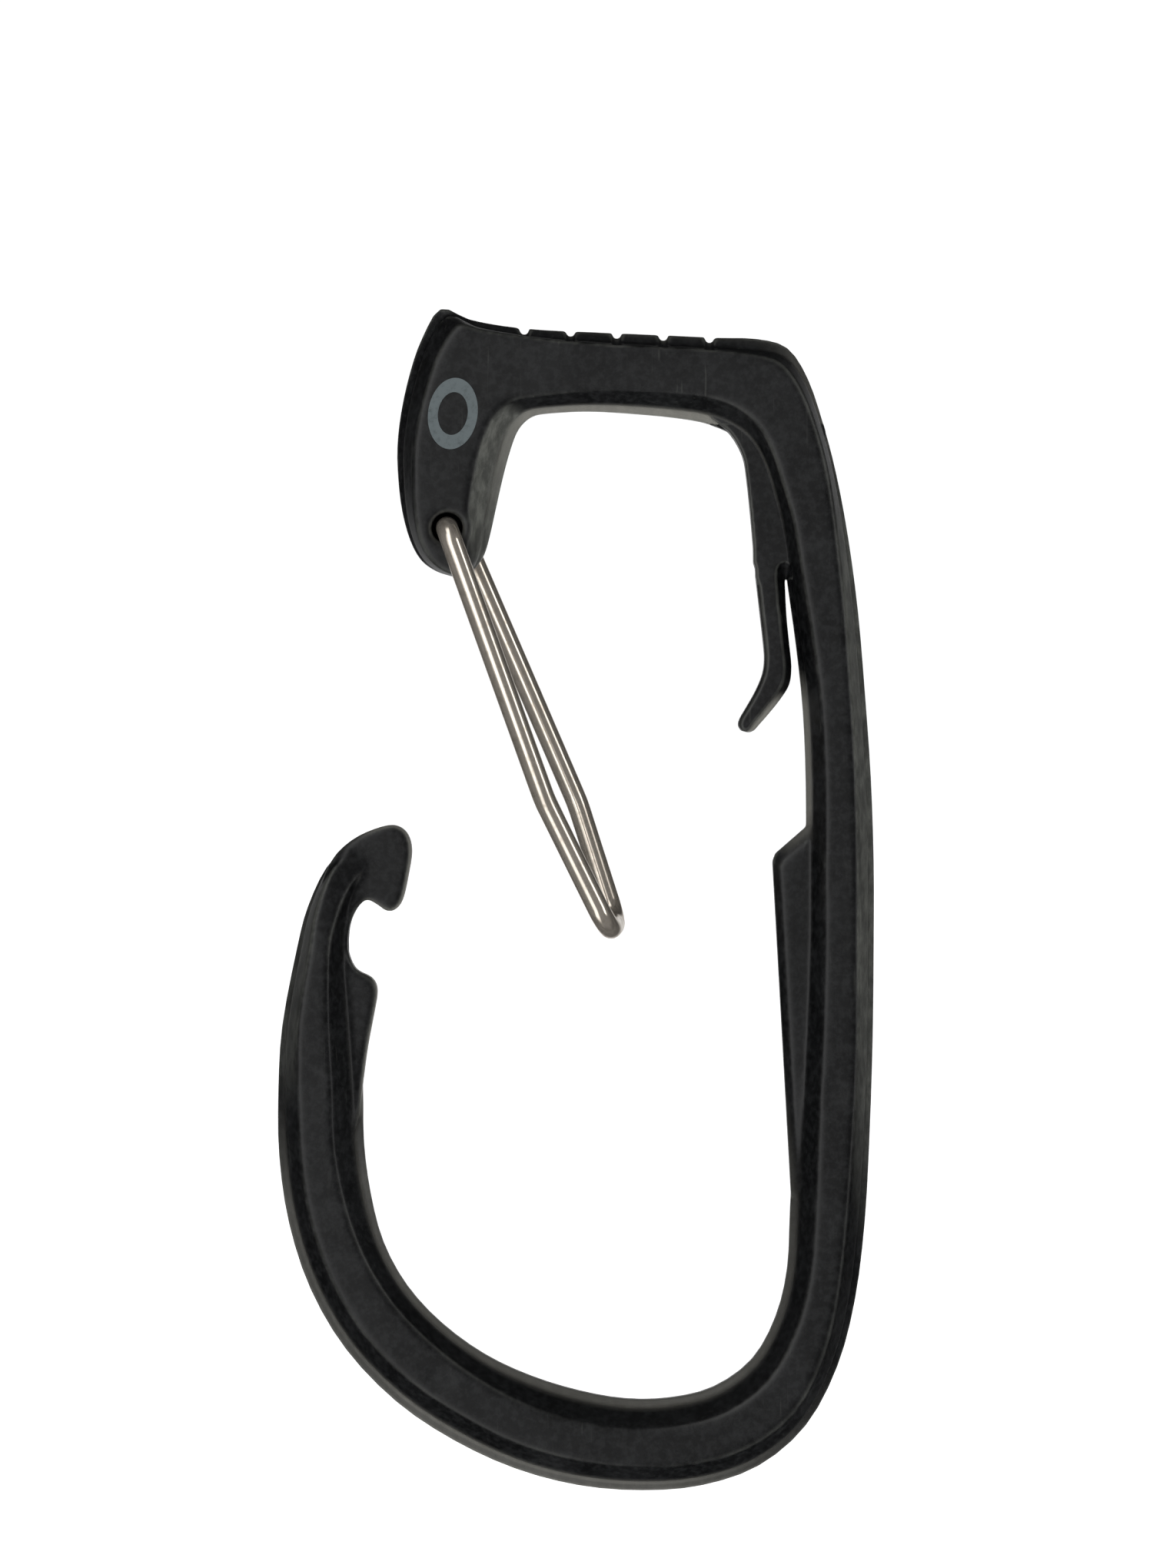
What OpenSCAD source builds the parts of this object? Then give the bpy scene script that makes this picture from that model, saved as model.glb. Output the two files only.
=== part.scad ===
// Plastic gear clipper for a climbing harness: one moulded nylon body with a
// webbing tongue, and one sprung wire gate. Millimetres, hung upright: X runs
// from the gate side to the spine, Y through the thickness (front is -Y), Z up.
// The origin is where harness webbing bears on the spine, half way up its slot.

/* [Body] */
// Thickness over the two flat faces
body_thickness = 9; // [8:0.5:9]
// Thickness of the ribs on the mid-plane: fin, tongue, lug and shoulder
rib_thickness = 4.2; // [3:0.1:4.4]
// Thickness of the hook's head, which the gate loop straddles
head_thickness = 4; // [3:0.1:4.2]

/* [Grip notches] */
// Number of notches across the top edge
notch_count = 5; // [1:1:6]
// Spacing of the notches
notch_pitch = 4.7; // [4:0.1:5]
// Depth of the notches
notch_depth = 0.5; // [0.2:0.1:0.8]

/* [Gate] */
// Diameter of the gate wire
wire_d = 2.24; // [2:0.02:2.24]
// Clearance between the gate's legs and the body's faces
leg_clearance = 0.28; // [0.2:0.02:0.6]
// Distance between the two pin holes, seen from the front
pin_offset = 1.2; // [0.8:0.1:1.3]
// Diameter of the pin holes
pin_hole_d = 3.1; // [3:0.05:3.2]
// Depth of the pin holes
pin_hole_depth = 3.4; // [2.5:0.1:3.6]
// Inside width of the loop at the gate's free end
loop_gap = 4.76; // [4.6:0.02:5.2]

/* [Tongue] */
// Clearance round the tongue's hinge, where the real moulding flexes
hinge_clearance = 0.08; // [0.05:0.01:0.15]

/* [Hidden] */
$fn = 64;
half = body_thickness / 2;
rib_half = rib_thickness / 2;
head_half = head_thickness / 2;
black = [0.09, 0.09, 0.1];
steel = [0.72, 0.7, 0.67];

// ---- Stations of the body's bar ----
// A station is a slice across the bar:
// [outer x, outer z, inner x, inner z, outer chamfer, inner chamfer, half thickness, shelf].
// Shelf goes from 0, a plain chamfer, to 1, the low step that carries the notches.
nose_leg = [
    [-35.9, 13.1, -34.7, 13.1, 0.2, 0.2, half, 0],
    [-37.4, 13.6, -33.5, 13.8, 0.6, 0.6, half, 0],
    [-38.9, 14.7, -32.5, 15.2, 0.9, 1.6, half, 0],
    [-40.0, 16.7, -31.9, 17.2, 1.0, 2.2, half, 0],
    [-40.8, 19.6, -31.3, 19.9, 1.3, 2.8, half, 0],
    [-41.2, 22.8, -30.7, 22.6, 1.6, 3.0, half, 0],
    [-41.3, 26.2, -30.0, 25.3, 1.8, 3.1, half, 0],
    [-40.9, 29.8, -29.2, 27.6, 2.0, 3.0, half, 0],
    [-40.0, 33.8, -28.3, 28.8, 2.2, 2.8, half, 0],
    [-38.8, 37.2, -27.3, 29.4, 2.4, 2.5, half, 0],
    [-36.9, 40.2, -26.1, 29.6, 2.7, 2.2, half, 0.1]
];
top_bar = [
    [-34.0, 39.1, -24.8, 29.7, 1.7, 2.2, half, 0.7],
    [-30.5, 38.4, -23.0, 29.8, 1.3, 2.2, half, 1],
    [-26.6, 38.0, -21.2, 29.8, 1.3, 2.2, half, 1],
    [-22.3, 37.8, -19.2, 29.7, 1.3, 2.2, half, 1],
    [-17.7, 37.6, -16.5, 29.5, 1.3, 2.2, half, 1],
    [-13.0, 37.4, -13.4, 29.2, 1.3, 2.3, half, 1],
    [-8.7, 37.2, -10.3, 28.7, 1.4, 2.5, half, 1],
    [-4.8, 37.1, -7.8, 27.8, 1.8, 2.5, half, 0.8]
];
spine = [
    [-1.7, 36.2, -5.8, 26.5, 1.9, 2.2, half, 0.4],
    [0.4, 33.1, -4.3, 24.2, 1.6, 1.9, half, 0.1],
    [2.0, 28.4, -3.2, 20.9, 1.2, 1.7, half, 0],
    [3.3, 23.4, -2.3, 17.0, 1.2, 1.8, half, 0],
    [4.5, 17.0, -1.6, 11.8, 1.5, 1.8, half, 0],
    [5.5, 9.5, -0.8, 6.0, 1.6, 1.8, half, 0],
    [6.2, 1.3, -0.1, -0.6, 1.6, 1.8, half, 0],
    [6.8, -7.3, 0.2, -8.0, 1.7, 1.8, half, 0],
    [7.1, -15.9, 0.2, -15.9, 1.8, 1.8, half, 0],
    [7.1, -24.5, 0.1, -24.5, 1.8, 1.9, half, 0],
    [7.0, -33.8, -0.3, -33.4, 1.7, 2.1, half, 0],
    [6.7, -43.2, -0.9, -42.6, 1.8, 2.3, half, 0],
    [6.2, -52.4, -1.4, -51.0, 2.0, 2.5, half, 0]
];
basket = [
    [5.2, -60.4, -1.7, -57.2, 2.0, 2.4, half, 0],
    [3.4, -67.2, -2.9, -62.2, 2.0, 2.4, half, 0],
    [0.2, -73.2, -5.3, -66.5, 2.1, 2.5, half, 0],
    [-4.6, -77.3, -9.2, -69.3, 2.5, 2.7, half, 0],
    [-10.4, -79.3, -13.6, -70.4, 2.7, 2.8, half, 0],
    [-16.4, -79.8, -18.1, -70.5, 2.8, 2.9, half, 0],
    [-22.8, -79.3, -22.8, -69.7, 2.9, 2.9, half, 0],
    [-29.3, -77.6, -27.7, -68.2, 2.9, 2.7, half, 0],
    [-35.6, -74.7, -32.4, -66.0, 3.0, 2.3, half, 0],
    [-41.4, -70.8, -36.8, -62.8, 2.9, 2.1, half, 0],
    [-46.5, -65.5, -40.3, -59.0, 2.7, 2.1, half, 0],
    [-50.1, -59.4, -42.7, -54.6, 2.6, 2.3, half, 0]
];
hook = [
    [-52.3, -52.7, -44.0, -49.7, 2.4, 2.7, half, 0],
    [-53.3, -45.9, -44.7, -44.4, 2.3, 3.0, half, 0],
    [-53.4, -39.3, -44.8, -38.6, 2.1, 3.1, half, 0],
    [-53.0, -32.6, -45.3, -32.4, 1.7, 2.9, half, 0],
    [-51.5, -24.7, -46.2, -25.3, 1.4, 1.9, half, 0],
    [-50.4, -20.5, -46.0, -22.0, 1.0, 1.4, 3.7, 0],
    [-48.5, -16.5, -45.2, -19.2, 0.7, 1.1, 2.8, 0],
    [-45.9, -13.9, -43.4, -16.2, 0.4, 0.7, 1.9, 0]
];
bar = concat(nose_leg, top_bar, spine, basket, hook);

// A slice of the webbing tongue: [spine side x, z, window side x, z], from its hinge to its tip.
tongue = [
    [-2.0, 13.2, -4.9, 13.2],
    [-1.8, 9.1, -4.45, 9.3],
    [-1.5, 6.0, -4.1, 6.2],
    [-1.3, 3.9, -4.0, 4.6],
    [-1.5, 2.1, -4.2, 3.1],
    [-2.4, 0.6, -4.9, 1.4],
    [-3.6, -0.9, -5.8, -0.2],
    [-4.65, -2.1, -6.5, -1.4],
    [-5.1, -2.6, -6.65, -2.1],
    [-5.6, -2.8, -6.35, -2.6]
];
tongue_hinge = [-3.45, 13.2];
tongue_hinge_r = 1.45;

// Hook head and the shoulder below its notch, in one outline.
hook_key = [
    [-49.2, -19.5], [-48.0, -15.9], [-46.0, -13.8], [-43.6, -12.6], [-41.6, -12.2], [-40.3, -13.0],
    [-39.8, -14.7], [-40.1, -17.0], [-40.7, -19.7], [-41.5, -20.8], [-42.4, -20.9], [-43.3, -20.3],
    [-44.4, -19.8], [-45.4, -20.7], [-46.1, -22.4], [-46.3, -24.8], [-45.5, -26.8], [-43.9, -27.7],
    [-43.3, -29.0], [-43.7, -31.6], [-44.3, -34.8], [-44.8, -38.5], [-45.3, -42.5], [-46.6, -45.0], [-48.0, -40.0],
    [-48.8, -32.0], [-49.2, -26.0]
];
// Fin that carries the tongue, from the window's corner down to the hinge.
fin = [
    [-9.6, 29.2], [-7.6, 27.7], [-6.25, 25.4], [-5.8, 23.0], [-5.38, 19.0], [-5.12, 16.0], [-4.92, 13.9],
    [-3.2, 13.6], [-1.8, 12.9], [-0.3, 13.6], [-1.6, 20.0], [-3.4, 25.5], [-6.5, 29.0]
];
// Lug that stops the webbing from sliding down the spine.
lug = [[1.4, -12.0], [0.2, -12.4], [-2.9, -15.1], [-3.2, -15.9], [-1.3, -50.0], [0.5, -52.0], [1.6, -40.0]];
lug_top = [[1.4, -13.6], [0.2, -13.9], [-2.0, -15.8], [-2.5, -16.6], [-0.7, -49.0], [0.5, -50.0], [1.6, -40.0]];
lug_edge_half = 1.2;

// ---- Gate, at the pose where it stands half open ----
gate_axis = [-35.6, 17.85];
leg_y = half + leg_clearance + wire_d / 2;
loop_y = (loop_gap + wire_d) / 2;
pin_clearance = 0.4;
pin_inner_y = half - pin_hole_depth + pin_clearance;
front_pin = gate_axis - [pin_offset / 2, 0];
back_pin = gate_axis + [pin_offset / 2, 0];
boss_r = 2.7;
bead = 0.01;
// Corners of the wire's centre line, each with the inside radius of its bend.
gate_path = [
    [front_pin.x, -pin_inner_y, front_pin.y, 0],
    [front_pin.x, -leg_y, front_pin.y, 1.7],
    [-26.3, -leg_y, -9.7, 9],
    [-19.8, -loop_y, -22.9, 3],
    [-19.1, loop_y, -22.2, 3],
    [-23, leg_y, -10, 9],
    [back_pin.x, leg_y, back_pin.y, 1.7],
    [back_pin.x, pin_inner_y, back_pin.y, 0]
];

notch_first = [-28.4, 38.05];
notch_last = [-9.6, 37.2];
notch_floor = 0.6;
notch_mouth = 1.4;
shelf_slope = 45;
spline_steps = 3;

// ---- Curves ----
// A Catmull-Rom curve through rows of numbers, with n steps between two rows.
function blend(a, b, c, d, t) =
    0.5 * (2 * b + (c - a) * t + (2 * a - 5 * b + 4 * c - d) * t * t + (3 * b - a - 3 * c + d) * t * t * t);
function open_curve(rows, n) = let (last = len(rows) - 1) [
    for (i = [0 : last - 1], s = [0 : n - 1])
        blend(rows[max(i - 1, 0)], rows[i], rows[i + 1], rows[min(i + 2, last)], s / n),
    rows[last]
];
function closed_curve(rows, n) = let (m = len(rows)) [
    for (i = [0 : m - 1], s = [0 : n - 1])
        blend(rows[(i + m - 1) % m], rows[i], rows[(i + 1) % m], rows[(i + 2) % m], s / n)
];

// ---- Sweeps ----
// Half a slice of the bar, from its outer edge over the flat face to its inner edge.
function half_slice(r) =
    let (o = [r[0], r[1]], i = [r[2], r[3]], d = (i - o) / norm(i - o), h = min(r[6], half), s = r[7],
         ledge_o = r[4] * (0.34 + 0.46 * s), ledge_i = r[5] * 0.28)
    [
        [o, h * (0.18 + 0.3 * s)],
        [o + d * ledge_o, h * (0.3 + 0.34 * s)],
        [o + d * (ledge_o + 0.04 * r[4]), h * (0.46 + 0.32 * s)],
        [o + d * r[4], h],
        [i - d * r[5], h],
        [i - d * (ledge_i + 0.04 * r[5]), h * 0.46],
        [i - d * ledge_i, h * 0.3],
        [i, h * 0.18]
    ];
// A slice of a rib: chamfered where it faces the spine, nearly square at the window.
function rib_slice(r) =
    let (o = [r[0], r[1]], i = [r[2], r[3]], d = (i - o) / norm(i - o), bevel = min(0.7, norm(i - o) * 0.3))
    [[o, rib_half * 0.45], [o + d * bevel, rib_half], [i - d * bevel * 0.4, rib_half], [i, rib_half * 0.8]];
function ring(slice) = concat(
    [for (p = slice) [p[0].x, -p[1], p[0].y]],
    [for (k = [len(slice) - 1 : -1 : 0]) [slice[k][0].x, slice[k][1], slice[k][0].y]]
);
module sweep(slices) {
    m = 2 * len(slices[0]);
    last = len(slices) - 1;
    side = [
        for (i = [0 : last - 1], j = [0 : m - 1])
            let (k = (j + 1) % m, a = i * m, b = a + m)
            each [[a + j, b + j, b + k], [a + j, b + k, a + k]]
    ];
    caps = [
        [for (j = [0 : m - 1]) j],
        [for (j = [m - 1 : -1 : 0]) last * m + j]
    ];
    polyhedron(points = [for (s = slices) each ring(s)], faces = concat(side, caps), convexity = 8);
}
// A flat plate on the mid-plane, with its outline in X and Z.
module plate(outline, half_width) {
    rotate([90, 0, 0]) linear_extrude(height = 2 * half_width, center = true) polygon(outline);
}
module along_y(at, y, length, r) {
    translate([at.x, y, at.y]) rotate([-90, 0, 0]) cylinder(r = r, h = length);
}

// ---- Wire ----
function unit(v) = v / norm(v);
function place(p) = [p[0], p[1], p[2]];
// How far before and after a corner its bend starts and ends.
function setback(path, i) = i == 0 || i == len(path) - 1 ? 0 :
    let (a = unit(place(path[i]) - place(path[i - 1])), b = unit(place(path[i + 1]) - place(path[i])))
    path[i][3] * tan(acos(a * b) / 2);
// A rigid placement whose Z axis is w, with u near its X axis.
module oriented(at, u, w) {
    v = cross(w, u);
    multmatrix([[u.x, v.x, w.x, at.x], [u.y, v.y, w.y, at.y], [u.z, v.z, w.z, at.z], [0, 0, 0, 1]]) children();
}
function square_to(w) = unit(cross(w, abs(w.y) < 0.7 ? [0, 1, 0] : [1, 0, 0]));
module wire(path, r) {
    for (i = [0 : len(path) - 2]) {
        a = place(path[i]);
        b = place(path[i + 1]);
        w = unit(b - a);
        start = a + w * setback(path, i);
        end = b - w * setback(path, i + 1);
        oriented(start, square_to(w), w) cylinder(r = r, h = norm(end - start));
        // A hair's breadth of bead fuses each straight with the bends beside it.
        if (i > 0) translate(start) sphere(r = r + bead);
        if (i < len(path) - 2) translate(end) sphere(r = r + bead);
    }
    for (i = [1 : len(path) - 2]) {
        a = unit(place(path[i]) - place(path[i - 1]));
        b = unit(place(path[i + 1]) - place(path[i]));
        radius = path[i][3];
        inward = unit(b - a * (a * b));
        centre = place(path[i]) - a * setback(path, i) + inward * radius;
        oriented(centre, -inward, cross(-inward, a))
            rotate_extrude(angle = acos(a * b)) translate([radius, 0]) circle(r = r);
    }
}

// ---- Pieces ----
// One notch: straight through the top edge, and sloping down the shelf on both faces.
module notch(at) {
    profile = [[-notch_floor / 2, 0], [notch_floor / 2, 0], [notch_mouth / 2, 1], [-notch_mouth / 2, 1]];
    translate([at.x, 0, at.y - notch_depth]) {
        rotate([90, 0, 0]) linear_extrude(height = 12, center = true) polygon(profile);
        for (face = [0, 1])
            rotate([0, 0, 180 * face]) translate([0, -2, 0]) rotate([90 - shelf_slope, 0, 0])
                rotate([90, 0, 0]) translate([0, 0, -0.5]) linear_extrude(height = 2.6) polygon(profile);
    }
}
module frame_body() {
    color(black) difference() {
        union() {
            sweep([for (r = open_curve(bar, spline_steps)) half_slice(r)]);
            plate(closed_curve(hook_key, 3), head_half);
            plate(closed_curve(fin, 3), rib_half);
            hull() {
                plate(lug, lug_edge_half);
                plate(lug_top, rib_half);
            }
            along_y(front_pin, -half, half, boss_r);
            along_y(back_pin, 0, half, boss_r);
        }
        for (i = [0 : notch_count - 1])
            notch(notch_first + (notch_last - notch_first) * i * notch_pitch / norm(notch_last - notch_first));
        along_y(front_pin, -half - 1, pin_hole_depth + 1, pin_hole_d / 2);
        along_y(back_pin, half - pin_hole_depth, pin_hole_depth + 1, pin_hole_d / 2);
        along_y(tongue_hinge, -half, 2 * half, tongue_hinge_r + hinge_clearance);
    }
}
module webbing_tongue() {
    color(black) union() {
        sweep([for (r = open_curve(tongue, 3)) rib_slice(r)]);
        along_y(tongue_hinge, -rib_half, 2 * rib_half, tongue_hinge_r);
    }
}
module gate_wire() {
    color(steel) wire(gate_path, wire_d / 2);
}

frame_body();
webbing_tongue();
gate_wire();
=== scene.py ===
import bpy
import math
import numpy as np
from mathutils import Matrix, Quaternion, Vector


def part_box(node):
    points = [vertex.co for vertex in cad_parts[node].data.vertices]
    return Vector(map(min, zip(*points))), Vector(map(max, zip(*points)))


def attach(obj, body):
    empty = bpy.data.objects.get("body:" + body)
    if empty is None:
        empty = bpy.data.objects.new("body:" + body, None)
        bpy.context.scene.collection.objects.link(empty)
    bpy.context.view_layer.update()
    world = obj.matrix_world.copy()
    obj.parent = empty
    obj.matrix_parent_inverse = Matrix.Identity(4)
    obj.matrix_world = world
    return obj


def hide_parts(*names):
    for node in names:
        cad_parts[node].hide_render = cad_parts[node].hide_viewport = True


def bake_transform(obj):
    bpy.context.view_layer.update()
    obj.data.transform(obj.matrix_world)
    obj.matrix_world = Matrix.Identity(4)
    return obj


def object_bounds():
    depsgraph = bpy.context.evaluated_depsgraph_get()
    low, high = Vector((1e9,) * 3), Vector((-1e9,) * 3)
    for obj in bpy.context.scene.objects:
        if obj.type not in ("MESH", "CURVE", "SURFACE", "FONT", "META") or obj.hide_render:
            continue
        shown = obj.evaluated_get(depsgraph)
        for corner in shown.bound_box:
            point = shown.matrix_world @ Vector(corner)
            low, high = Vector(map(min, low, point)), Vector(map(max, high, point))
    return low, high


mm = 0.001
quarterTurn = math.pi / 2
sameSpot = 1e-6   # points closer than this are one point

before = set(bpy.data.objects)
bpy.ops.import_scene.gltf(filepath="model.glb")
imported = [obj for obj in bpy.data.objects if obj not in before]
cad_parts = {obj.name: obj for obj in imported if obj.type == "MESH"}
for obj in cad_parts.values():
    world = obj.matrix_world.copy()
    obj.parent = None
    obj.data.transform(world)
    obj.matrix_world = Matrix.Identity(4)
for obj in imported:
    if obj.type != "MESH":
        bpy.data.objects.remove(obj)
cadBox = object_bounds()
bpy.ops.object.select_all(action="DESELECT")
print("frame loaded:", sorted(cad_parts))


# small helpers for working on one object at a time

def point(x, y, z):
    return Vector((x, y, z)) * mm


def pickOnly(piece):
    bpy.ops.object.select_all(action="DESELECT")
    piece.select_set(True)
    bpy.context.view_layer.objects.active = piece


def editAll(piece, *steps):
    # steps run in edit mode on the whole mesh
    pickOnly(piece)
    bpy.ops.object.mode_set(mode="EDIT")
    bpy.ops.mesh.select_all(action="SELECT")
    for step in steps:
        step()
    bpy.ops.object.mode_set(mode="OBJECT")


def faceOutwards():
    bpy.ops.mesh.select_all(action="SELECT")
    bpy.ops.mesh.normals_make_consistent(inside=False)


def extrudeBy(offset):
    bpy.ops.mesh.extrude_region_move(TRANSFORM_OT_translate={"value": offset})


def addModifier(piece, kind, **settings):
    pickOnly(piece)
    modifier = piece.modifiers.new(kind.title(), kind)
    for key, value in settings.items():
        setattr(modifier, key, value)
    bpy.ops.object.modifier_apply(modifier=modifier.name)


def cutWith(piece, tool, operation="DIFFERENCE"):
    addModifier(piece, "BOOLEAN", object=tool, operation=operation, solver="EXACT")
    bpy.data.objects.remove(tool, do_unlink=True)


def placeInMesh(piece):
    pickOnly(piece)
    bpy.ops.object.transform_apply(location=True, rotation=True, scale=True)


def copyOfNode(node, name):
    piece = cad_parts[node].copy()
    piece.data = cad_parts[node].data.copy()
    for key in list(piece.keys()):
        del piece[key]
    piece.parent = None
    piece.data.materials.clear()
    piece.name = piece.data.name = name
    bpy.context.scene.collection.objects.link(piece)
    # the node may be hidden by now, and its copy with it
    piece.hide_render = piece.hide_viewport = False
    piece.hide_set(False)
    editAll(piece, lambda: bpy.ops.mesh.remove_doubles(threshold=sameSpot))
    return piece


def roundAt(centre, radius, sides):
    # a filled circle that faces along Y
    bpy.ops.mesh.primitive_circle_add(
        vertices=sides, radius=radius, location=centre, rotation=(quarterTurn, 0, 0), fill_type="NGON"
    )
    piece = bpy.context.active_object
    placeInMesh(piece)
    return piece


def plateOf(outline, halfWidth):
    # an upright plate on the mid-plane, its outline given in X and Z, in mm
    plate = roundAt(point(0, 0, 0), mm, len(outline))
    for vertex, (x, z) in zip(plate.data.vertices, outline):
        vertex.co = Vector((x * mm, -halfWidth, z * mm))
    editAll(plate, lambda: extrudeBy((0, 2 * halfWidth, 0)), faceOutwards)
    return plate


def taperedPocket(wide, narrow, face, floor):
    # a pocket tool between two outlines with the same number of points, wide at the face
    tool = plateOf(wide, abs(face - floor) / 2)
    middle = (face + floor) / 2
    for vertex in tool.data.vertices:
        onFloor = (vertex.co.y > 0) == (floor > face)
        x, z = vertex.co.x / mm, vertex.co.z / mm
        corner = min(range(len(wide)), key=lambda k: math.dist(wide[k], (x, z)))
        x, z = (narrow if onFloor else wide)[corner]
        vertex.co = Vector((x * mm, middle + vertex.co.y, z * mm))
    return tool


def trianglesOf(piece):
    return sum(len(face.vertices) - 2 for face in piece.data.polygons)


def softenMoulding(piece, look):
    # rounds every edge and join, as a mould's cutter does
    addModifier(piece, "REMESH", mode="VOXEL", voxel_size=look["voxel"], adaptivity=0)
    addModifier(piece, "SMOOTH", factor=0.5, iterations=look["smoothRounds"])
    if "faceEdge" in look:
        # the edges of the two flat faces are rounded more than the rest
        low, high = look["faceEdge"]
        group = piece.vertex_groups.new(name="faceEdge")
        for vertex in piece.data.vertices:
            share = (abs(vertex.co.y) - low) / (high - low)
            for (left, bottom), (right, top), start, full in look["thinParts"]:
                if left < vertex.co.x / mm < right and bottom < vertex.co.z / mm < top:
                    share = max(share, (abs(vertex.co.y) - start) / (full - start))
            if share > 0:
                group.add([vertex.index], min(share, 1), "REPLACE")
        addModifier(piece, "SMOOTH", factor=0.5, iterations=look["faceRounds"], vertex_group="faceEdge")
        piece.vertex_groups.clear()
    triangles = trianglesOf(piece)
    if triangles > look["triangleBudget"]:
        share = look["triangleBudget"] / triangles
        addModifier(piece, "DECIMATE", decimate_type="COLLAPSE", ratio=share)
    pickOnly(piece)
    bpy.ops.object.shade_smooth()
    print(piece.name, "has", trianglesOf(piece), "triangles")


# shader maths as plain expressions

class Flow:
    def __init__(self, paint, socket):
        self.paint = paint
        self.socket = socket

    def __add__(self, other):
        return self.paint.maths("ADD", self, other)

    def __sub__(self, other):
        return self.paint.maths("SUBTRACT", self, other)

    def __rsub__(self, other):
        return self.paint.maths("SUBTRACT", other, self)

    def __mul__(self, other):
        return self.paint.maths("MULTIPLY", self, other)

    def __truediv__(self, other):
        return self.paint.maths("DIVIDE", self, other)

    def __pow__(self, other):
        return self.paint.maths("POWER", self, other)

    def __abs__(self):
        return self.paint.maths("ABSOLUTE", self, 0)

    __radd__ = __add__
    __rmul__ = __mul__


class Paint:
    def __init__(self, tree):
        self.tree = tree
        self.tree.nodes.clear()

    def make(self, kind, settings=None, inputs=None, output=0):
        node = self.tree.nodes.new(kind)
        for key, value in (settings or {}).items():
            setattr(node, key, value)
        for key, value in (inputs or {}).items():
            if isinstance(value, Flow):
                self.tree.links.new(value.socket, node.inputs[key])
            else:
                node.inputs[key].default_value = value
        return Flow(self, node.outputs[output]) if node.outputs else node

    def maths(self, operation, first, second):
        return self.make("ShaderNodeMath", {"operation": operation}, {0: first, 1: second})

    def clamp(self, value, low=0.0, high=1.0):
        return self.make("ShaderNodeClamp", None, {"Value": value, "Min": low, "Max": high})

    def band(self, value, low, high):
        # 0 below low, 1 above high, smooth between
        return self.make(
            "ShaderNodeMapRange",
            {"interpolation_type": "SMOOTHSTEP"},
            {"Value": value, "From Min": low, "From Max": high, "To Min": 0.0, "To Max": 1.0},
        )

    def stored(self, name, output="Fac"):
        return self.make("ShaderNodeAttribute", {"attribute_name": name}, output=output)

    def stretched(self, place, scale):
        return self.make("ShaderNodeMapping", None, {"Vector": place, "Scale": scale})

    def objectPlace(self, scale=(1, 1, 1)):
        return self.stretched(self.make("ShaderNodeTexCoord", output="Object"), scale)

    def axesOf(self, vector):
        split = self.make("ShaderNodeSeparateXYZ", None, {0: vector}).socket.node
        return [Flow(self, socket) for socket in split.outputs]

    def noise(self, place, scale, detail=3, roughness=0.55, distortion=0):
        return self.make(
            "ShaderNodeTexNoise",
            {"noise_dimensions": "3D"},
            {
                "Vector": place, "Scale": scale, "Detail": detail,
                "Roughness": roughness, "Distortion": distortion,
            },
        )

    def blendColours(self, factor, first, second):
        # sockets 6 and 7 are the two colours, and output 2 their blend
        inputs = {"Factor": factor, 6: first, 7: second}
        return self.make("ShaderNodeMix", {"data_type": "RGBA"}, inputs, output=2)

    def bump(self, height, strength, distance):
        inputs = {"Height": height, "Strength": strength, "Distance": distance}
        return self.make("ShaderNodeBump", None, inputs)

    def finish(self, surface):
        shader = self.make("ShaderNodeBsdfPrincipled", None, surface)
        self.make("ShaderNodeOutputMaterial", None, {"Surface": shader})


def newFinish(name):
    material = bpy.data.materials.new(name)
    material.use_nodes = True
    return material, Paint(material.node_tree)


# black nylon: cloudy and faintly grained, pale where it is worn, with a painted highlight on its rims and
# painted light on some side faces

nylon = {
    "deep": (0.0014, 0.0015, 0.0018, 1), "cloudy": (0.0128, 0.0135, 0.0143, 1),
    "scuffedAndLitPale": (0.146, 0.15, 0.134, 1), "rimHighlight": (0.28, 0.274, 0.245, 1),
    "rimHalf": 2.55 * mm, "rimFade": 1.0 * mm, "rimFalloff": 1.5, "rimShare": 0.8,
    "cloudScale": 210, "cloudBand": (0.42, 0.68),
    "speckScale": 1470, "speckBand": (0.4, 0.66), "speckShare": 0.55,
    "grainScale": 5200, "coarseGrainScale": 1820, "grainBump": 0.35, "grainDepth": 0.02 * mm,
    "scratchScale": 2600, "scratchBand": (0.66, 0.76), "scratchShare": 0.12,
    "edgeBand": (0.12, 0.5), "edgeShare": 0.3, "blotchScale": 900, "blotchBand": (0.35, 0.75),
    "roughness": 0.36, "specular": 0.37, "ior": 1.48,
}


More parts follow.
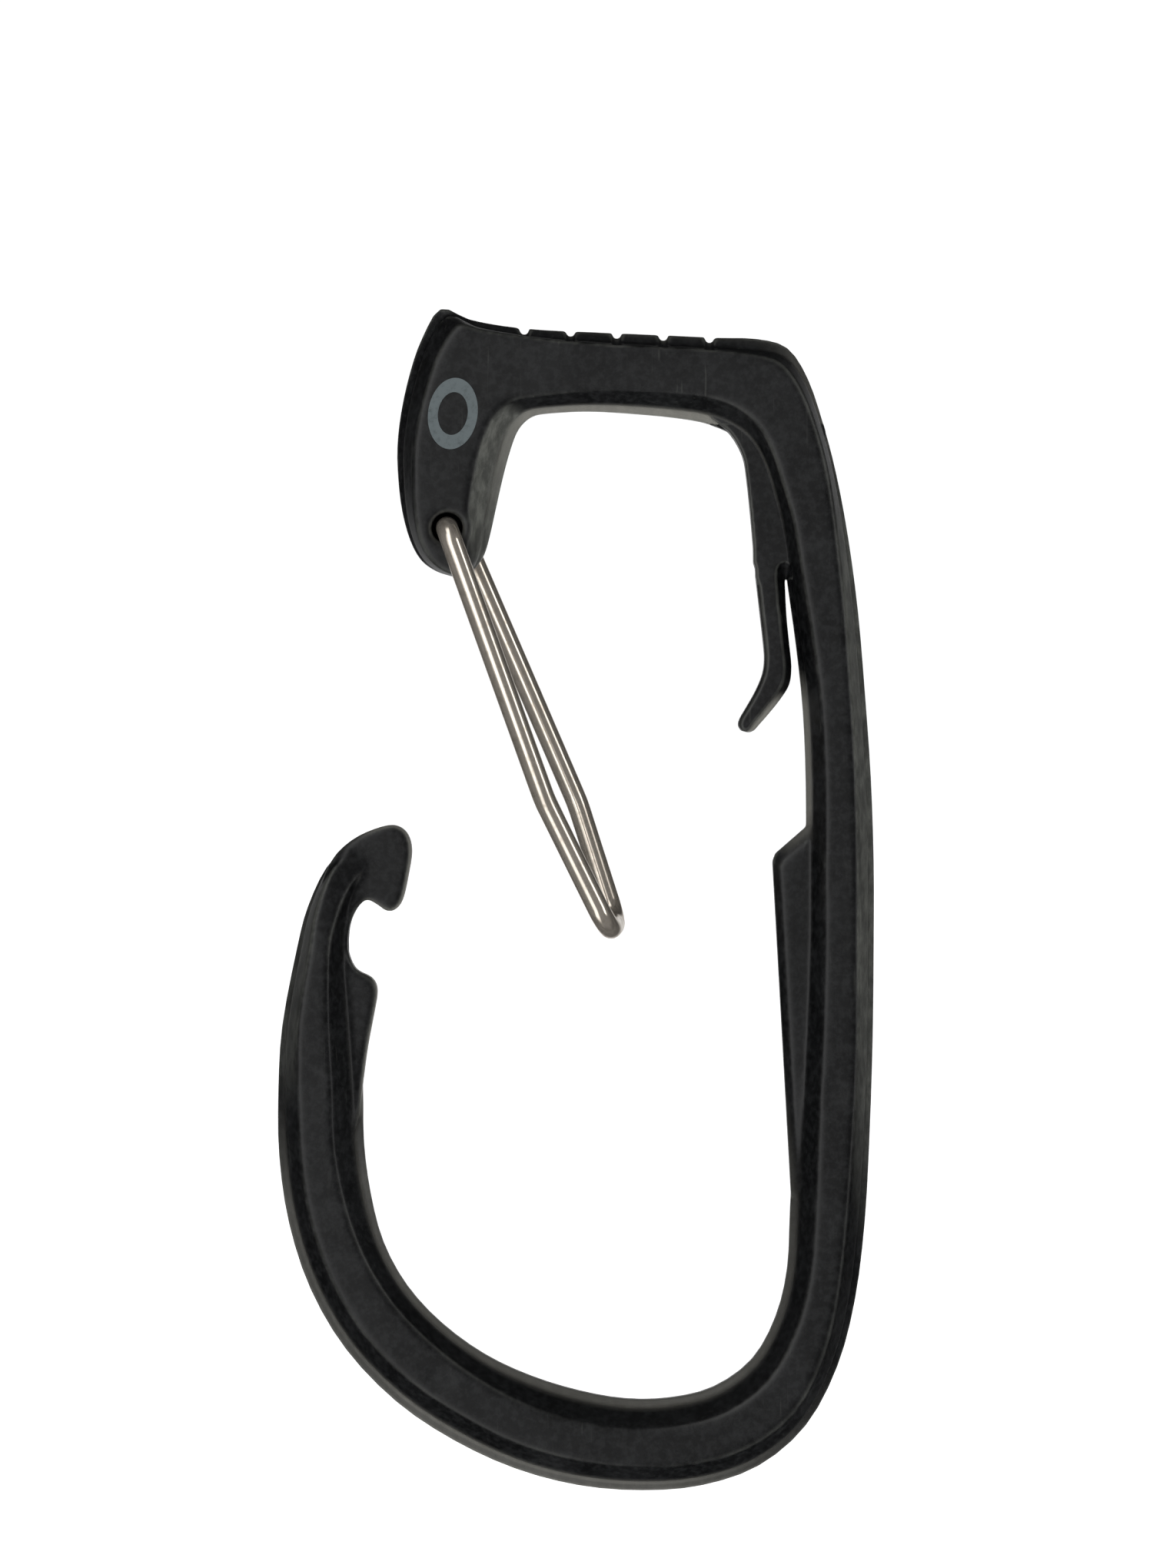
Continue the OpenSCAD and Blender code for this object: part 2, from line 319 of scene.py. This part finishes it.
def makeNylon(name):
    material, paint = newFinish(name)
    place = paint.objectPlace()
    cloud = paint.noise(place, nylon["cloudScale"], detail=5, roughness=0.62)
    patches = paint.noise(place, nylon["cloudScale"] * 0.3, roughness=0.5, distortion=0.6)
    specks = paint.noise(place, nylon["speckScale"], detail=4, roughness=0.65)
    speckShare = nylon["speckShare"]
    mottle = (
        paint.band(cloud * 0.65 + patches * 0.35, *nylon["cloudBand"]) * (1 - speckShare)
        + paint.band(specks, *nylon["speckBand"]) * speckShare
    )
    colour = paint.blendColours(mottle, nylon["deep"], nylon["cloudy"])

    # the painted rim highlight fades out before it reaches the two flat faces
    across = paint.axesOf(place)[1]
    nearMiddle = paint.clamp((nylon["rimHalf"] - abs(across)) / nylon["rimFade"]) ** nylon["rimFalloff"]
    longPlace = paint.objectPlace((1, 1, 0.45))
    blotchNoise = paint.noise(longPlace, nylon["blotchScale"], detail=5, roughness=0.7)
    blotch = paint.band(blotchNoise, *nylon["blotchBand"])
    # painted highlight on the rims, standing in for the bright backdrop's reflection
    rimHighlight = paint.stored("rimHighlight") * nearMiddle * (nylon["rimShare"] + blotch * (1 - nylon["rimShare"]))
    colour = paint.blendColours(rimHighlight, colour, nylon["rimHighlight"])

    # wear on sharp edges, fine upright scratches, and painted light on faces turned one way, which also
    # stands for rubbing
    scratchPlace = paint.objectPlace((1, 1, 0.06))
    scratches = paint.noise(scratchPlace, nylon["scratchScale"], detail=2, roughness=0.4, distortion=0.3)
    scratched = paint.band(scratches, *nylon["scratchBand"]) * paint.band(patches, 0.45, 0.62)
    cloudy = 0.45 + paint.band(cloud, 0.35, 0.65) * 0.55
    edge = paint.band(paint.stored("edge"), *nylon["edgeBand"]) * cloudy
    # painted light on faces turned one way, partly rubbing
    rubbedAndLit = paint.stored("rubbedAndLit") * (0.3 + blotch * 0.5) * (0.6 + patches * 0.7)
    wearAndPaintedLight = paint.clamp(edge * nylon["edgeShare"] + scratched * nylon["scratchShare"])
    wearAndPaintedLight = paint.clamp(wearAndPaintedLight + rubbedAndLit)

    grain = paint.noise(place, nylon["grainScale"], detail=2, roughness=0.5)
    coarseGrain = paint.noise(place, nylon["coarseGrainScale"], detail=2)
    roughness = nylon["roughness"] + mottle * 0.06 + wearAndPaintedLight * 0.1 + (grain - 0.5) * 0.12
    paint.finish({
        "Specular IOR Level": nylon["specular"],
        "IOR": nylon["ior"],
        "Base Color": paint.blendColours(wearAndPaintedLight, colour, nylon["scuffedAndLitPale"]),
        "Roughness": paint.clamp(roughness, 0.2, 0.8),
        "Normal": paint.bump(grain * 0.7 + coarseGrain * 0.6, nylon["grainBump"], nylon["grainDepth"]),
    })
    return material


# drawn stainless wire: its lines run along the wire, with shallow dull spots

steel = {
    "bright": (0.8, 0.72, 0.625, 1), "dull": (0.52, 0.46, 0.385, 1), "roughness": 0.17, "metallic": 0.88,
    "drawnScale": 3600, "drawnStretch": 0.02, "pitScale": 1100, "pitBand": (0.5, 0.72),
    "tarnishScale": 260, "tarnishBand": (0.4, 0.75), "bump": 0.05, "bumpDepth": 0.02 * mm,
}


def makeSteel(name):
    material, paint = newFinish(name)
    unrolled = paint.stored("unrolled", output="Vector")
    drawnPlace = paint.stretched(unrolled, (1, 1, steel["drawnStretch"]))
    drawn = paint.noise(drawnPlace, steel["drawnScale"], roughness=0.6)
    pits = paint.noise(unrolled, steel["pitScale"], detail=2, roughness=0.5)
    tarnish = paint.noise(unrolled, steel["tarnishScale"])
    pitted = paint.band(pits, *steel["pitBand"])
    dulled = paint.clamp(pitted * 0.55 + paint.band(tarnish, *steel["tarnishBand"]) * 0.4)
    roughness = steel["roughness"] + dulled * 0.12 + (drawn - 0.5) * 0.12
    paint.finish({
        "Metallic": steel["metallic"],
        "Base Color": paint.blendColours(dulled, steel["bright"], steel["dull"]),
        "Roughness": paint.clamp(roughness, 0.08, 0.6),
        "Normal": paint.bump(drawn * 0.9 + pits * 0.3, steel["bump"], steel["bumpDepth"]),
    })
    return material


# grey printing ink, worn thin in small spots

ink = {
    "full": (0.105, 0.128, 0.134, 1), "worn": (0.07, 0.086, 0.09, 1), "spotScale": 1500,
    "wornBand": (0.45, 0.75), "roughness": 0.42, "specular": 0.4, "bump": 0.3, "bumpDepth": 0.01 * mm,
}


def makeInk(name):
    material, paint = newFinish(name)
    thin = paint.noise(paint.objectPlace(), ink["spotScale"], detail=4, roughness=0.7)
    paint.finish({
        "Specular IOR Level": ink["specular"],
        "Base Color": paint.blendColours(paint.band(thin, *ink["wornBand"]), ink["full"], ink["worn"]),
        "Roughness": paint.clamp(ink["roughness"] + thin * 0.2),
        "Normal": paint.bump(thin, ink["bump"], ink["bumpDepth"]),
    })
    return material


# where the moulding is worn, where the painted rim highlight goes and where painted light falls on side
# faces, stored on its points for the nylon to read

wearAndLightRules = {
    "sharpRadius": 0.5 * mm, "blurs": 2,           # an edge of this radius counts as 1
    # a surface turned this far from the flat faces gets the painted rim highlight
    "sidewaysFrom": 0.35, "sidewaysOver": 0.25,    # how far a rim's surface must turn from the flat faces
    "facingFrom": 0.45, "facingOver": 0.25,        # how far a zone's surface may turn from its way
    "zoneFade": 0.35,
}


def closeness(place, facing, zones):
    # 1 inside a zone on surfaces that face its way, falling to 0 at its reach
    share = np.zeros(len(place))
    for zone in zones:
        away = np.sqrt((((place / mm - zone["middle"]) / zone["reach"]) ** 2).sum(axis=1))
        inside = np.clip((1 - away) / wearAndLightRules["zoneFade"], 0, 1) * zone["share"]
        if "way" in zone:
            turned = facing @ np.array(zone["way"]) - wearAndLightRules["facingFrom"]
            inside = inside * np.clip(turned / wearAndLightRules["facingOver"], 0, 1)
        share = np.maximum(share, inside)
    return share


def readRows(source, key, columns, kind=float):
    values = np.empty(len(source) * columns, dtype=kind)
    source.foreach_get(key, values)
    return values.reshape(-1, columns)


def markWearAndPaintedLight(piece, look):
    mesh = piece.data
    count = len(mesh.vertices)
    place = readRows(mesh.vertices, "co", 3)
    facing = readRows(mesh.vertices, "normal", 3)
    one, two = readRows(mesh.edges, "vertices", 2, np.int64).T
    step = place[two] - place[one]
    reach = np.linalg.norm(step, axis=1) + 1e-12   # never zero
    # how much the surface bends along each edge, per metre
    turn = ((facing[two] - facing[one]) * step).sum(axis=1) / reach ** 2
    total = np.bincount(one, turn, count) + np.bincount(two, turn, count)
    touching = np.bincount(one, minlength=count) + np.bincount(two, minlength=count)
    touching = np.maximum(touching, 1)
    bend = total / touching * wearAndLightRules["sharpRadius"]
    for _ in range(wearAndLightRules["blurs"]):
        spread = np.bincount(one, bend[two], count) + np.bincount(two, bend[one], count)
        bend = 0.5 * bend + 0.5 * spread / touching
    sideways = np.hypot(facing[:, 0], facing[:, 2]) - wearAndLightRules["sidewaysFrom"]
    sideways = np.clip(sideways / wearAndLightRules["sidewaysOver"], 0, 1)
    marks = {
        "edge": bend,
        # painted highlight on sideways rims, standing in for the backdrop's reflection
        "rimHighlight": sideways * closeness(place, facing, look["rimHighlights"]),
        # painted light on faces turned one way, partly rubbing
        "rubbedAndLit": closeness(place, facing, look["rubbedAndLit"]),
    }
    for name, values in marks.items():
        store = mesh.attributes.new(name, "FLOAT", "POINT")
        store.data.foreach_set("value", values.astype(np.float32))


# moulded body

moulding = {
    "voxel": 0.17 * mm, "smoothRounds": 5, "faceEdge": (2.9 * mm, 3.6 * mm), "faceRounds": 30,
    "triangleBudget": 190000,
    "ejectorMarks": [(-49.8, -38.5), (-36.9, -68.4), (3.1, -17.0), (2.9, -39.5)],
    "ejectorRadius": 1.55 * mm, "ejectorDepth": 0.05 * mm, "ejectorSides": 64,
    "hingeCut": (point(-5.6, -2.4, 11.0), point(-2.3, 2.4, 17.0)),
    # boxes in X and Z round the hook's key and the lug, and where their edges start to round
    "thinParts": [
        ((-47.5, -45), (-38, -11), 1.3 * mm, 1.9 * mm),
        ((-4, -53), (0, -11), 1.5 * mm, 2.0 * mm),
    ],
    # where the rim gets its painted highlight, and where faces turned one way get painted light, also
    # standing for gate and gear rubbing:
    # each zone's middle and reach in mm, the way its surface faces, and how strong it is
    "rimHighlights": [
        {"middle": (-16.0, 0, 27.0), "reach": (21, 9, 15), "share": 0.75},
        {"middle": (-24.0, 0, -60.0), "reach": (28, 9, 36), "share": 0.42},
        {"middle": (-44.0, 0, -66.0), "reach": (26, 9, 28), "share": 0.28},
        {"middle": (-1.0, 0, -6.0), "reach": (4, 9, 10), "share": 0.5},
        {"middle": (-41.0, 0, -16.0), "reach": (5, 9, 7), "share": 0.9},
        {"middle": (-43.0, 0, -33.0), "reach": (4, 9, 12), "way": (0.9, 0, 0), "share": 0.8},
    ],
    # painted light on faces turned each zone's way, also standing for rubbing
    "rubbedAndLit": [
        {"middle": (-31.5, 0, 23.0), "reach": (5, 9, 13), "way": (0.96, 0, -0.26), "share": 1.15},
        {"middle": (6.0, 0, -8.0), "reach": (5, 9, 48), "way": (1, 0, 0.1), "share": 0.9},
        {"middle": (-52.0, 0, -26.0), "reach": (5, 9, 16), "way": (-0.95, 0, 0.3), "share": 0.4},
    ],
}

# the slot beside the tongue ends in a rounded, sloping pocket on each face
pocket = {
    "wide": [
        (-2.35, 7.5), (-2.75, 10.4), (-2.95, 12.9), (-2.9, 13.9), (-2.6, 14.45),
        (-2.0, 14.7), (-1.35, 14.5), (-1.0, 13.9), (-1.0, 12.9), (-0.9, 10.4),
    ],
    "narrow": [
        (-1.9, 7.5), (-1.98, 10.4), (-2.0, 12.6), (-1.99, 12.85), (-1.94, 13.0),
        (-1.86, 13.04), (-1.78, 12.97), (-1.74, 12.85), (-1.74, 12.6), (-1.6, 10.4),
    ],
    "face": 2.25 * mm, "floor": 0.85 * mm,
}


def blockAt(low, high):
    bpy.ops.mesh.primitive_cube_add(size=1, location=(low + high) / 2)
    block = bpy.context.active_object
    block.scale = high - low
    placeInMesh(block)
    return block


def cutEjectorMarks(piece, look):
    for x, z in look["ejectorMarks"]:
        for face in (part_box("frame_body")[0].y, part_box("frame_body")[1].y):
            bpy.ops.mesh.primitive_cylinder_add(
                vertices=look["ejectorSides"], radius=look["ejectorRadius"], depth=2 * look["ejectorDepth"],
                location=(x * mm, face, z * mm), rotation=(quarterTurn, 0, 0),
            )
            pin = bpy.context.active_object
            placeInMesh(pin)
            cutWith(piece, pin)


def cutPockets(piece):
    for side in (-1, 1):
        face, floor = side * pocket["face"], side * pocket["floor"]
        cutWith(piece, taperedPocket(pocket["wide"], pocket["narrow"], face, floor))


body = copyOfNode("frame_body", "moulded_body")
cutEjectorMarks(body, moulding)
cutWith(body, blockAt(*moulding["hingeCut"]))
cutPockets(body)
softenMoulding(body, moulding)
markWearAndPaintedLight(body, moulding)
blackNylon = makeNylon("blackNylon")
body.data.materials.append(blackNylon)
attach(body, "body")
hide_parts("frame_body")
print("body done")

# webbing tongue: the fin above it and the tongue are made into one rib

rib = {
    "voxel": 0.13 * mm, "smoothRounds": 7, "triangleBudget": 60000,
    # painted highlight on the lower edge of the tongue's bent tip
    "rimHighlights": [
        {"middle": (-4.6, 0, -1.2), "reach": (4, 5, 3.5), "way": (0.8, 0, -0.6), "share": 1.0},
    ],
    "rubbedAndLit": [],
    # the part of the body that the rib takes with it, and how far the rib stands proud of it
    "slab": (point(-14, -2.1, 12.6), point(2.2, 2.1, 28.6)), "proud": 0.03 * mm,
    "stiffAbove": point(-3.45, 0, 16.0), "freeBelow": point(-3.3, 0, 10.4),
    # fills the seat between fin and tongue
    "sleeve": [(-5.1, 16.6), (-3.4, 16.6), (-3.4, 12.2), (-4.72, 12.2), (-4.88, 13.4), (-5.0, 14.8)],
    "sleeveHalf": 2.1 * mm,
}
tongue = copyOfNode("webbing_tongue", "webbing_tongue_rib")
fin = copyOfNode("frame_body", "fin")
cutWith(fin, blockAt(*rib["slab"]), "INTERSECT")
cutWith(tongue, fin, "UNION")
cutWith(tongue, plateOf(rib["sleeve"], rib["sleeveHalf"]), "UNION")
cutPockets(tongue)
softenMoulding(tongue, rib)
editAll(tongue, lambda: bpy.ops.transform.shrink_fatten(value=rib["proud"]))
markWearAndPaintedLight(tongue, rib)
tongue.data.materials.append(blackNylon)
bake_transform(tongue)
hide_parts("webbing_tongue")
print("tongue done")

# gate wire: one length of wire, bent at each corner

gate = {
    "radius": 1.12 * mm, "sides": 40, "turnPerStep": math.radians(6), "fewestSteps": 3,
    "spotSpacing": 0.5 * mm, "smoothUnder": math.radians(50),
    # corners of the centre line, each with the radius of its bend
    "corners": [
        (point(-36.2, -1.5, 17.85), 0), (point(-36.2, -5.9, 17.85), 1.7 * mm),
        (point(-26.3, -5.9, -9.7), 9 * mm), (point(-19.8, -3.5, -22.9), 3 * mm),
        (point(-19.1, 3.5, -22.2), 3 * mm), (point(-23, 5.9, -10), 9 * mm),
        (point(-35, 5.9, 17.85), 1.7 * mm), (point(-35, 1.5, 17.85), 0),
    ],
}


def bendWire(name, plan):
    corners = [corner for corner, _ in plan["corners"]]
    directions = [(b - a).normalized() for a, b in zip(corners, corners[1:])]
    piece = roundAt(corners[0], plan["radius"], plan["sides"])
    piece.name = piece.data.name = name
    bpy.ops.object.mode_set(mode="EDIT")
    bpy.ops.mesh.select_all(action="SELECT")
    here = corners[0].copy()
    centreLine = [here.copy()]
    for i, direction in enumerate(directions):
        last = i == len(directions) - 1
        turn = 0 if last else direction.angle(directions[i + 1])
        bend = 0 if last else plan["corners"][i + 1][1]
        straightEnd = corners[i + 1] - direction * bend * math.tan(turn / 2)
        extrudeBy(straightEnd - here)
        here = straightEnd
        centreLine.append(here.copy())
        if last:
            break
        axis = direction.cross(directions[i + 1]).normalized()
        centre = here + axis.cross(direction) * bend
        steps = max(plan["fewestSteps"], round(turn / plan["turnPerStep"]))
        # spin turns the other way round its axis
        bpy.ops.mesh.spin(steps=steps, angle=-turn, center=centre, axis=axis, dupli=False)
        for k in range(1, steps + 1):
            centreLine.append(centre + Quaternion(axis, turn * k / steps) @ (here - centre))
        here = centreLine[-1].copy()
    bpy.ops.mesh.select_all(action="SELECT")
    bpy.ops.mesh.remove_doubles(threshold=sameSpot)
    bpy.ops.mesh.normals_make_consistent(inside=False)
    bpy.ops.object.mode_set(mode="OBJECT")
    return piece, centreLine


def unrollWire(piece, centreLine, spacing):
    # stores each point's place in the wire as it was before it was bent
    spots = []
    travelled = 0
    side = Vector((1, 0, 0))
    for a, b in zip(centreLine, centreLine[1:]):
        length = (b - a).length
        along = (b - a).normalized()
        side = (side - along * side.dot(along)).normalized()
        pieces = max(1, round(length / spacing))
        for k in range(pieces):
            spots.append((a.lerp(b, k / pieces), along, side.copy(), travelled + length * k / pieces))
        travelled += length
    store = piece.data.attributes.new("unrolled", "FLOAT_VECTOR", "POINT")
    for vertex in piece.data.vertices:
        spot, along, side, distance = min(spots, key=lambda s: (s[0] - vertex.co).length_squared)
        out = vertex.co - spot
        unrolled = (out.dot(side), out.dot(along.cross(side)), distance + out.dot(along))
        store.data[vertex.index].vector = unrolled


gateWire, centreLine = bendWire("gate_spring_wire", gate)
unrollWire(gateWire, centreLine, gate["spotSpacing"])
pickOnly(gateWire)
bpy.ops.object.shade_smooth_by_angle(angle=gate["smoothUnder"])
gateWire.data.materials.append(makeSteel("brightSteel"))
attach(gateWire, "gate")
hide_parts("gate_wire")
print("gate done:", len(gateWire.data.vertices), "points")

# printed mark: a plain ring on the head

mark = {
    "centre": point(-35.6, -4.5, 29.4), "outer": 2.5 * mm, "inner": 1.5 * mm, "sides": 96,
    "stretch": 1.45, "lean": math.radians(-8), "thickness": 0.05 * mm, "sunk": 0.02 * mm,
}
ring = roundAt(mark["centre"], mark["outer"], mark["sides"])
ring.name = ring.data.name = "printed_ring"
bpy.ops.object.mode_set(mode="EDIT")
bpy.ops.mesh.select_all(action="SELECT")
bpy.ops.mesh.inset(thickness=mark["outer"] - mark["inner"])
bpy.ops.mesh.delete(type="FACE")
bpy.ops.mesh.select_all(action="SELECT")
bpy.ops.transform.resize(value=(1, 1, mark["stretch"]), center_override=mark["centre"])
bpy.ops.transform.rotate(value=mark["lean"], orient_axis="Y", center_override=mark["centre"])
bpy.ops.transform.translate(value=(0, mark["sunk"], 0))
extrudeBy((0, -mark["sunk"] - mark["thickness"], 0))
faceOutwards()
bpy.ops.object.mode_set(mode="OBJECT")
ring.data.materials.append(makeInk("greyInk"))
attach(ring, "body")
print("mark done")

# floor, light and camera

studio = {
    "floorDrop": 6 * mm, "floorSize": 40, "floorColour": (0.86, 0.86, 0.86, 1), "floorGlow": 1.0,
    "backdrop": 1.05,   # what the camera sees behind the object
    "behind": 0.7, "sides": 0.08, "front": 0.03, "strip": 1.5, "everywhere": 0.022, "brightest": 4,
    "aim": point(-23.1, 0, -8.05), "distance": 0.8, "frameHeight": 159.4 * mm, "sensor": 36,
    "clip": (0.01, 50),
    "lamps": [
        {"name": "leftLight", "place": (-0.42, -0.62, 0.14), "size": (0.42, 0.6), "power": 0.7},
        {"name": "rightLight", "place": (0.6, -0.38, 0.1), "size": (0.2, 0.6), "power": 0.85},
    ],
}
white = (1, 1, 1, 1)
floorHeight = cadBox[0].z - studio["floorDrop"]
bpy.ops.mesh.primitive_plane_add(size=studio["floorSize"], location=(0, 0, floorHeight))
floor = bpy.context.active_object
floor.name = "floor"
placeInMesh(floor)
paleFloor, paint = newFinish("paleFloor")
paint.finish({
    "Base Color": studio["floorColour"], "Roughness": 0.9, "Specular IOR Level": 0.1,
    "Emission Color": white, "Emission Strength": studio["floorGlow"],
})
floor.data.materials.append(paleFloor)
floor.visible_glossy = False

# the world lights the object by direction: from behind, the sides, the front and one upright strip
world = bpy.data.worlds.new("studio")
bpy.context.scene.world = world
world.use_nodes = True
sky = Paint(world.node_tree)
toX, toY, _ = sky.axesOf(sky.make("ShaderNodeTexCoord", output="Generated"))
toFront = 0 - toY
behind = sky.band(toY, 0.75, 0.97) * studio["behind"]
sides = sky.band(toFront, -0.75, 0.3) * studio["sides"]
front = sky.band(toFront, 0.5, 0.9) * studio["front"]
strip = sky.band(0 - toX, 0.02, 0.16) * sky.band(toX, -0.58, -0.44) * sky.band(toFront, 0.2, 0.5)
allOfIt = behind + sides + front + strip * studio["strip"] + studio["everywhere"]
light = sky.clamp(allOfIt, 0, studio["brightest"])
seen = sky.make("ShaderNodeLightPath", output="Is Camera Ray")
strength = seen * studio["backdrop"] + (1 - seen) * light
glow = sky.make("ShaderNodeBackground", None, {"Color": white, "Strength": strength})
sky.make("ShaderNodeOutputWorld", None, {"Surface": glow})


def addLamp(name, place, size, power):
    lamp = bpy.data.lights.new(name, "AREA")
    lamp.shape = "RECTANGLE"
    lamp.size, lamp.size_y = size
    lamp.energy = power
    holder = bpy.data.objects.new(name, lamp)
    bpy.context.scene.collection.objects.link(holder)
    holder.location = place
    holder.rotation_euler = (studio["aim"] - Vector(place)).to_track_quat("-Z", "Y").to_euler()
    holder.visible_camera = False


for plan in studio["lamps"]:
    addLamp(**plan)

lens = bpy.data.cameras.new("camera")
lens.sensor_width = studio["sensor"]
lens.sensor_fit = "AUTO"
lens.lens = studio["sensor"] * studio["distance"] / studio["frameHeight"]
lens.clip_start, lens.clip_end = studio["clip"]
camera = bpy.data.objects.new("camera", lens)
bpy.context.scene.collection.objects.link(camera)
camera.location = studio["aim"] - Vector((0, studio["distance"], 0))
camera.rotation_euler = (quarterTurn, 0, 0)
bpy.context.scene.camera = camera
bpy.context.scene.view_settings.view_transform = "Standard"
bpy.context.scene.view_settings.look = "None"
print("studio done")
